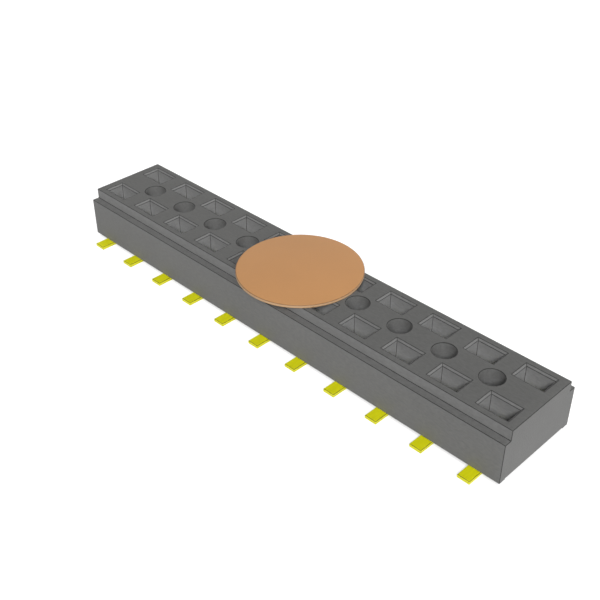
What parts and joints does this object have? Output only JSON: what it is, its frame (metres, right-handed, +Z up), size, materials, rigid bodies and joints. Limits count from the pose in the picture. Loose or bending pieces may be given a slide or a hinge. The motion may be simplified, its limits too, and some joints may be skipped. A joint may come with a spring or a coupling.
{
  "type": "pcb socket",
  "caption": "Low-profile surface-mount board socket: a dual-row block of open pin pockets with sprung formed contacts, flat solder tails along both sides and a round film pick-up pad.",
  "frame": {"origin": "centre of the footprint, on the plane of the circuit board that the solder tails stand on", "axes": "+X along the rows of pins, towards position 11; +Y across the rows, from the front row to the rear row; +Z up, away from the board, towards the mating pins"},
  "size_m": [0.022, 0.0052, 0.0024],
  "materials": {
    "housing": "moulded high-temperature plastic, fine matte",
    "contact": "gold-plated copper alloy strip, satin",
    "pad": "amber polyimide film, satin"
  },
  "bodies": {
    "root": {"housing": "housing", "pick_and_place_pad": "pad", "contact_front_01": "contact", "contact_front_02": "contact", "contact_front_03": "contact", "contact_front_04": "contact", "contact_front_05": "contact", "contact_front_06": "contact", "contact_front_07": "contact", "contact_front_08": "contact", "contact_front_09": "contact", "contact_front_10": "contact", "contact_front_11": "contact", "contact_rear_01": "contact", "contact_rear_02": "contact", "contact_rear_03": "contact", "contact_rear_04": "contact", "contact_rear_05": "contact", "contact_rear_06": "contact", "contact_rear_07": "contact", "contact_rear_08": "contact", "contact_rear_09": "contact", "contact_rear_10": "contact", "contact_rear_11": "contact"}
  },
  "joints": []
}
